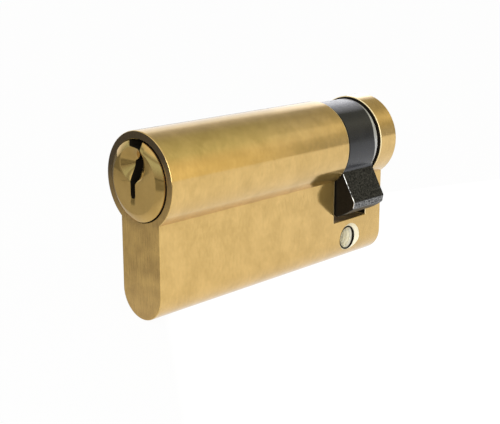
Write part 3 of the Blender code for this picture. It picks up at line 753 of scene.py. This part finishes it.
lamp = bpy.data.lights.new("front_lamp", "AREA")
lamp.shape = "RECTANGLE"
lamp.size = 0.2
lamp.size_y = 0.28
lamp.energy = 0.9
front_lamp = bpy.data.objects.new("front_lamp", lamp)
front_lamp.location = (0.23, -0.32, 0.12)
aim = Vector((0, -0.02, 0.01)) - front_lamp.location
front_lamp.rotation_euler = aim.to_track_quat("-Z", "Y").to_euler()
bpy.context.scene.collection.objects.link(front_lamp)

room = bpy.data.worlds.new("studio_room")
bpy.context.scene.world = room
room.use_nodes = True
tree = room.node_tree
plain = (1.0, 1.0, 1.0)
olive = (0.94, 1.0, 0.70)
amber = (1.0, 0.90, 0.60)
cool = (0.82, 1.0, 1.08)


def bands(position, stops):
    """A row of bands of light. A stop is a place from 0 to 1, a brightness and a tint."""
    ramp = node(tree, "ShaderNodeValToRGB", {"Fac": position})
    for index, (at, level, tint) in enumerate(stops):
        if index < 2:
            stop = ramp.color_ramp.elements[index]
            stop.position = at
        else:
            stop = ramp.color_ramp.elements.new(at)
        stop.color = (*(level * part for part in tint), 1.0)
    return ramp.outputs["Color"]


def turned_to(degrees):
    """Place in a row of bands of an angle about the barrel, where 0 is up and 90 is to the right."""
    return 0.5 + degrees / 360


way = node(tree, "ShaderNodeTexCoord", {}).outputs["Generated"]
look = node(tree, "ShaderNodeSeparateXYZ", {"Vector": way})
about = node(tree, "ShaderNodeMath", {0: look.outputs["X"], 1: look.outputs["Z"]}, operation="ARCTAN2")
turn = node(tree, "ShaderNodeMapRange", {"Value": about.outputs["Value"], "From Min": -math.pi,
                                         "From Max": math.pi}).outputs["Result"]
rear_left = bands(turn, [
    (0.0, 1.0, plain), (1.0, 1.0, plain), (turned_to(-60), 1.1, plain), (turned_to(-53), 1.0, plain),
    (turned_to(-43), 0.48, plain), (turned_to(-30), 0.32, plain), (turned_to(-10), 0.34, olive),
    (turned_to(5), 0.44, olive), (turned_to(35), 0.64, olive), (turned_to(58), 0.84, amber),
    (turned_to(72), 1.05, amber), (turned_to(90), 1.0, amber), (turned_to(98), 1.05, plain),
])
rear_right = bands(turn, [
    (0.0, 1.0, plain), (1.0, 1.0, plain), (turned_to(-54), 1.4, plain), (turned_to(-43), 0.9, plain),
    (turned_to(-34), 0.32, plain), (turned_to(-10), 0.28, plain), (turned_to(10), 0.50, plain),
    (turned_to(28), 0.56, plain), (turned_to(33), 0.86, plain), (turned_to(54), 0.92, plain),
    (turned_to(62), 0.55, plain), (turned_to(74), 0.32, plain), (turned_to(93), 0.25, plain),
    (turned_to(99), 1.2, plain),
])
rear_end = bands(turn, [
    (0.0, 1.0, plain), (1.0, 1.0, plain), (turned_to(-52), 2.2, plain), (turned_to(-43), 1.0, plain),
    (turned_to(-32), 0.38, amber), (turned_to(-8), 0.34, amber), (turned_to(8), 0.32, amber),
    (turned_to(38), 0.86, amber), (turned_to(58), 0.42, amber), (turned_to(75), 0.38, plain),
    (turned_to(94), 0.4, plain), (turned_to(110), 1.0, plain),
])
to_right = node(tree, "ShaderNodeMapRange", {"Value": look.outputs["Y"], "From Min": 0.709,
                                             "From Max": 0.727})
to_end = node(tree, "ShaderNodeMapRange", {"Value": look.outputs["Y"], "From Min": 0.753,
                                           "From Max": 0.759})
rear = node(tree, "ShaderNodeMix", {"Factor": to_right.outputs["Result"], "A": rear_left, "B": rear_right},
            data_type="RGBA")
rear = node(tree, "ShaderNodeMix", {"Factor": to_end.outputs["Result"], "A": rear.outputs["Result"],
                                    "B": rear_end}, data_type="RGBA")
height = node(tree, "ShaderNodeMapRange", {"Value": look.outputs["Z"], "From Min": -1.0})
front = bands(height.outputs["Result"], [(0.0, 0.3, plain), (1.0, 1.1, plain), (0.5, 0.3, plain),
                                         (0.64, 0.60, cool), (0.67, 0.60, cool), (0.70, 0.25, plain),
                                         (0.72, 0.50, cool), (0.76, 0.8, plain)])
to_rear = node(tree, "ShaderNodeMapRange", {"Value": look.outputs["Y"], "From Min": -0.35, "From Max": 0.25})
walls = node(tree, "ShaderNodeMix", {"Factor": to_rear.outputs["Result"], "A": front,
                                     "B": rear.outputs["Result"]}, data_type="RGBA")
seen = node(tree, "ShaderNodeLightPath", {})
backdrop = node(tree, "ShaderNodeMix", {"Factor": seen.outputs["Is Camera Ray"], "A": walls.outputs["Result"],
                                        "B": (1.0, 1.0, 1.0, 1.0)}, data_type="RGBA")
tree.links.new(backdrop.outputs["Result"], tree.nodes["Background"].inputs["Color"])
bpy.context.scene.view_settings.view_transform = "Standard"


# Camera. A short telephoto at the photograph's angle, from the front right and a little above.
lens = bpy.data.cameras.new("camera")
lens.lens = 69.36
lens.sensor_width = 36.0
lens.shift_y = -0.06
lens.clip_start = 0.005
camera = bpy.data.objects.new("camera", lens)
camera.location = (0.12259, -0.14780, 0.05653)
camera.rotation_euler = [math.radians(angle) for angle in (76.575, 0.0, 44.644)]
bpy.context.scene.collection.objects.link(camera)
bpy.context.scene.camera = camera
